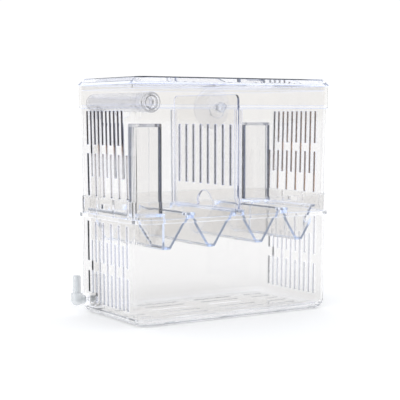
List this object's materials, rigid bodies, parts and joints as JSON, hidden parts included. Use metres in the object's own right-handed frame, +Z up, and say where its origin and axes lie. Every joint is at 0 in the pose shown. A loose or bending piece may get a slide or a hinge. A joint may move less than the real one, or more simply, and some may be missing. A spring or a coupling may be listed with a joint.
{
  "type": "fish breeding box",
  "caption": "Clear fish breeding box: slotted lower tank, slotted upper frame, lid, divider, V-shaped fry trays with corner uprights, suction cup and air-lift water circuit.",
  "frame": {"origin": "centre of the underside of the base, on the surface the box stands on", "axes": "+X along the long side towards the plain end, the air elbow is at -X; -Y is the front and the suction cup is on +Y; +Z up"},
  "size_m": [0.2121, 0.1244, 0.2046],
  "materials": {
    "clear_plastic": "clear polished polystyrene, colourless",
    "tray_plastic": "clear polished polystyrene with a faint blue cast in its edges",
    "nozzle_plastic": "clear moulded plastic, slightly frosted",
    "soft_vinyl": "soft milky translucent vinyl",
    "milky_vinyl": "soft vinyl, clear with a grey-blue haze"
  },
  "bodies": {
    "tank": {"lower_box": "clear_plastic", "elbow_grommet": "soft_vinyl", "riser_tube": "clear_plastic"},
    "frame": {"frame_section": "clear_plastic"},
    "lid": {"lid": "clear_plastic"},
    "divider": {"divider": "clear_plastic"},
    "tray_left": {"left_tray": "tray_plastic", "left_upright": "clear_plastic"},
    "tray_right": {"right_tray": "tray_plastic", "right_upright": "clear_plastic"},
    "cup": {"suction_cup": "soft_vinyl"},
    "air_inlet": {"air_elbow": "nozzle_plastic"},
    "outlet": {"outlet_elbow": "milky_vinyl", "outlet_mouth": "milky_vinyl"}
  },
  "joints": [
    {"name": "frame_lift", "type": "slide", "parent": "tank", "child": "frame", "axis": [0, 0, 1], "range_m": [0, 0.11]},
    {"name": "lid_lift", "type": "slide", "parent": "frame", "child": "lid", "axis": [0, 0, 1], "range_m": [0, 0.06]},
    {"name": "divider_lift", "type": "slide", "parent": "frame", "child": "divider", "axis": [0, 0, 1], "range_m": [0, 0.011]},
    {"name": "left_tray_lift", "type": "slide", "parent": "tank", "child": "tray_left", "axis": [0, 0, 1], "range_m": [0, 0.0085]},
    {"name": "right_tray_lift", "type": "slide", "parent": "tank", "child": "tray_right", "axis": [0, 0, 1], "range_m": [0, 0.034]},
    {"name": "cup_turn", "type": "hinge", "parent": "frame", "child": "cup", "pos_m": [0.0505, 0.058, 0.1803], "axis": [0, 1, 0], "continuous": true},
    {"name": "air_elbow_turn", "type": "hinge", "parent": "tank", "child": "air_inlet", "pos_m": [-0.099, 0.041, 0.012], "axis": [1, 0, 0], "range_deg": [-90, 90]},
    {"name": "outlet_swing", "type": "hinge", "parent": "tank", "child": "outlet", "pos_m": [-0.0853, 0.041, 0.1837], "axis": [0, 0, 1], "range_deg": [0, 43]}
  ]
}
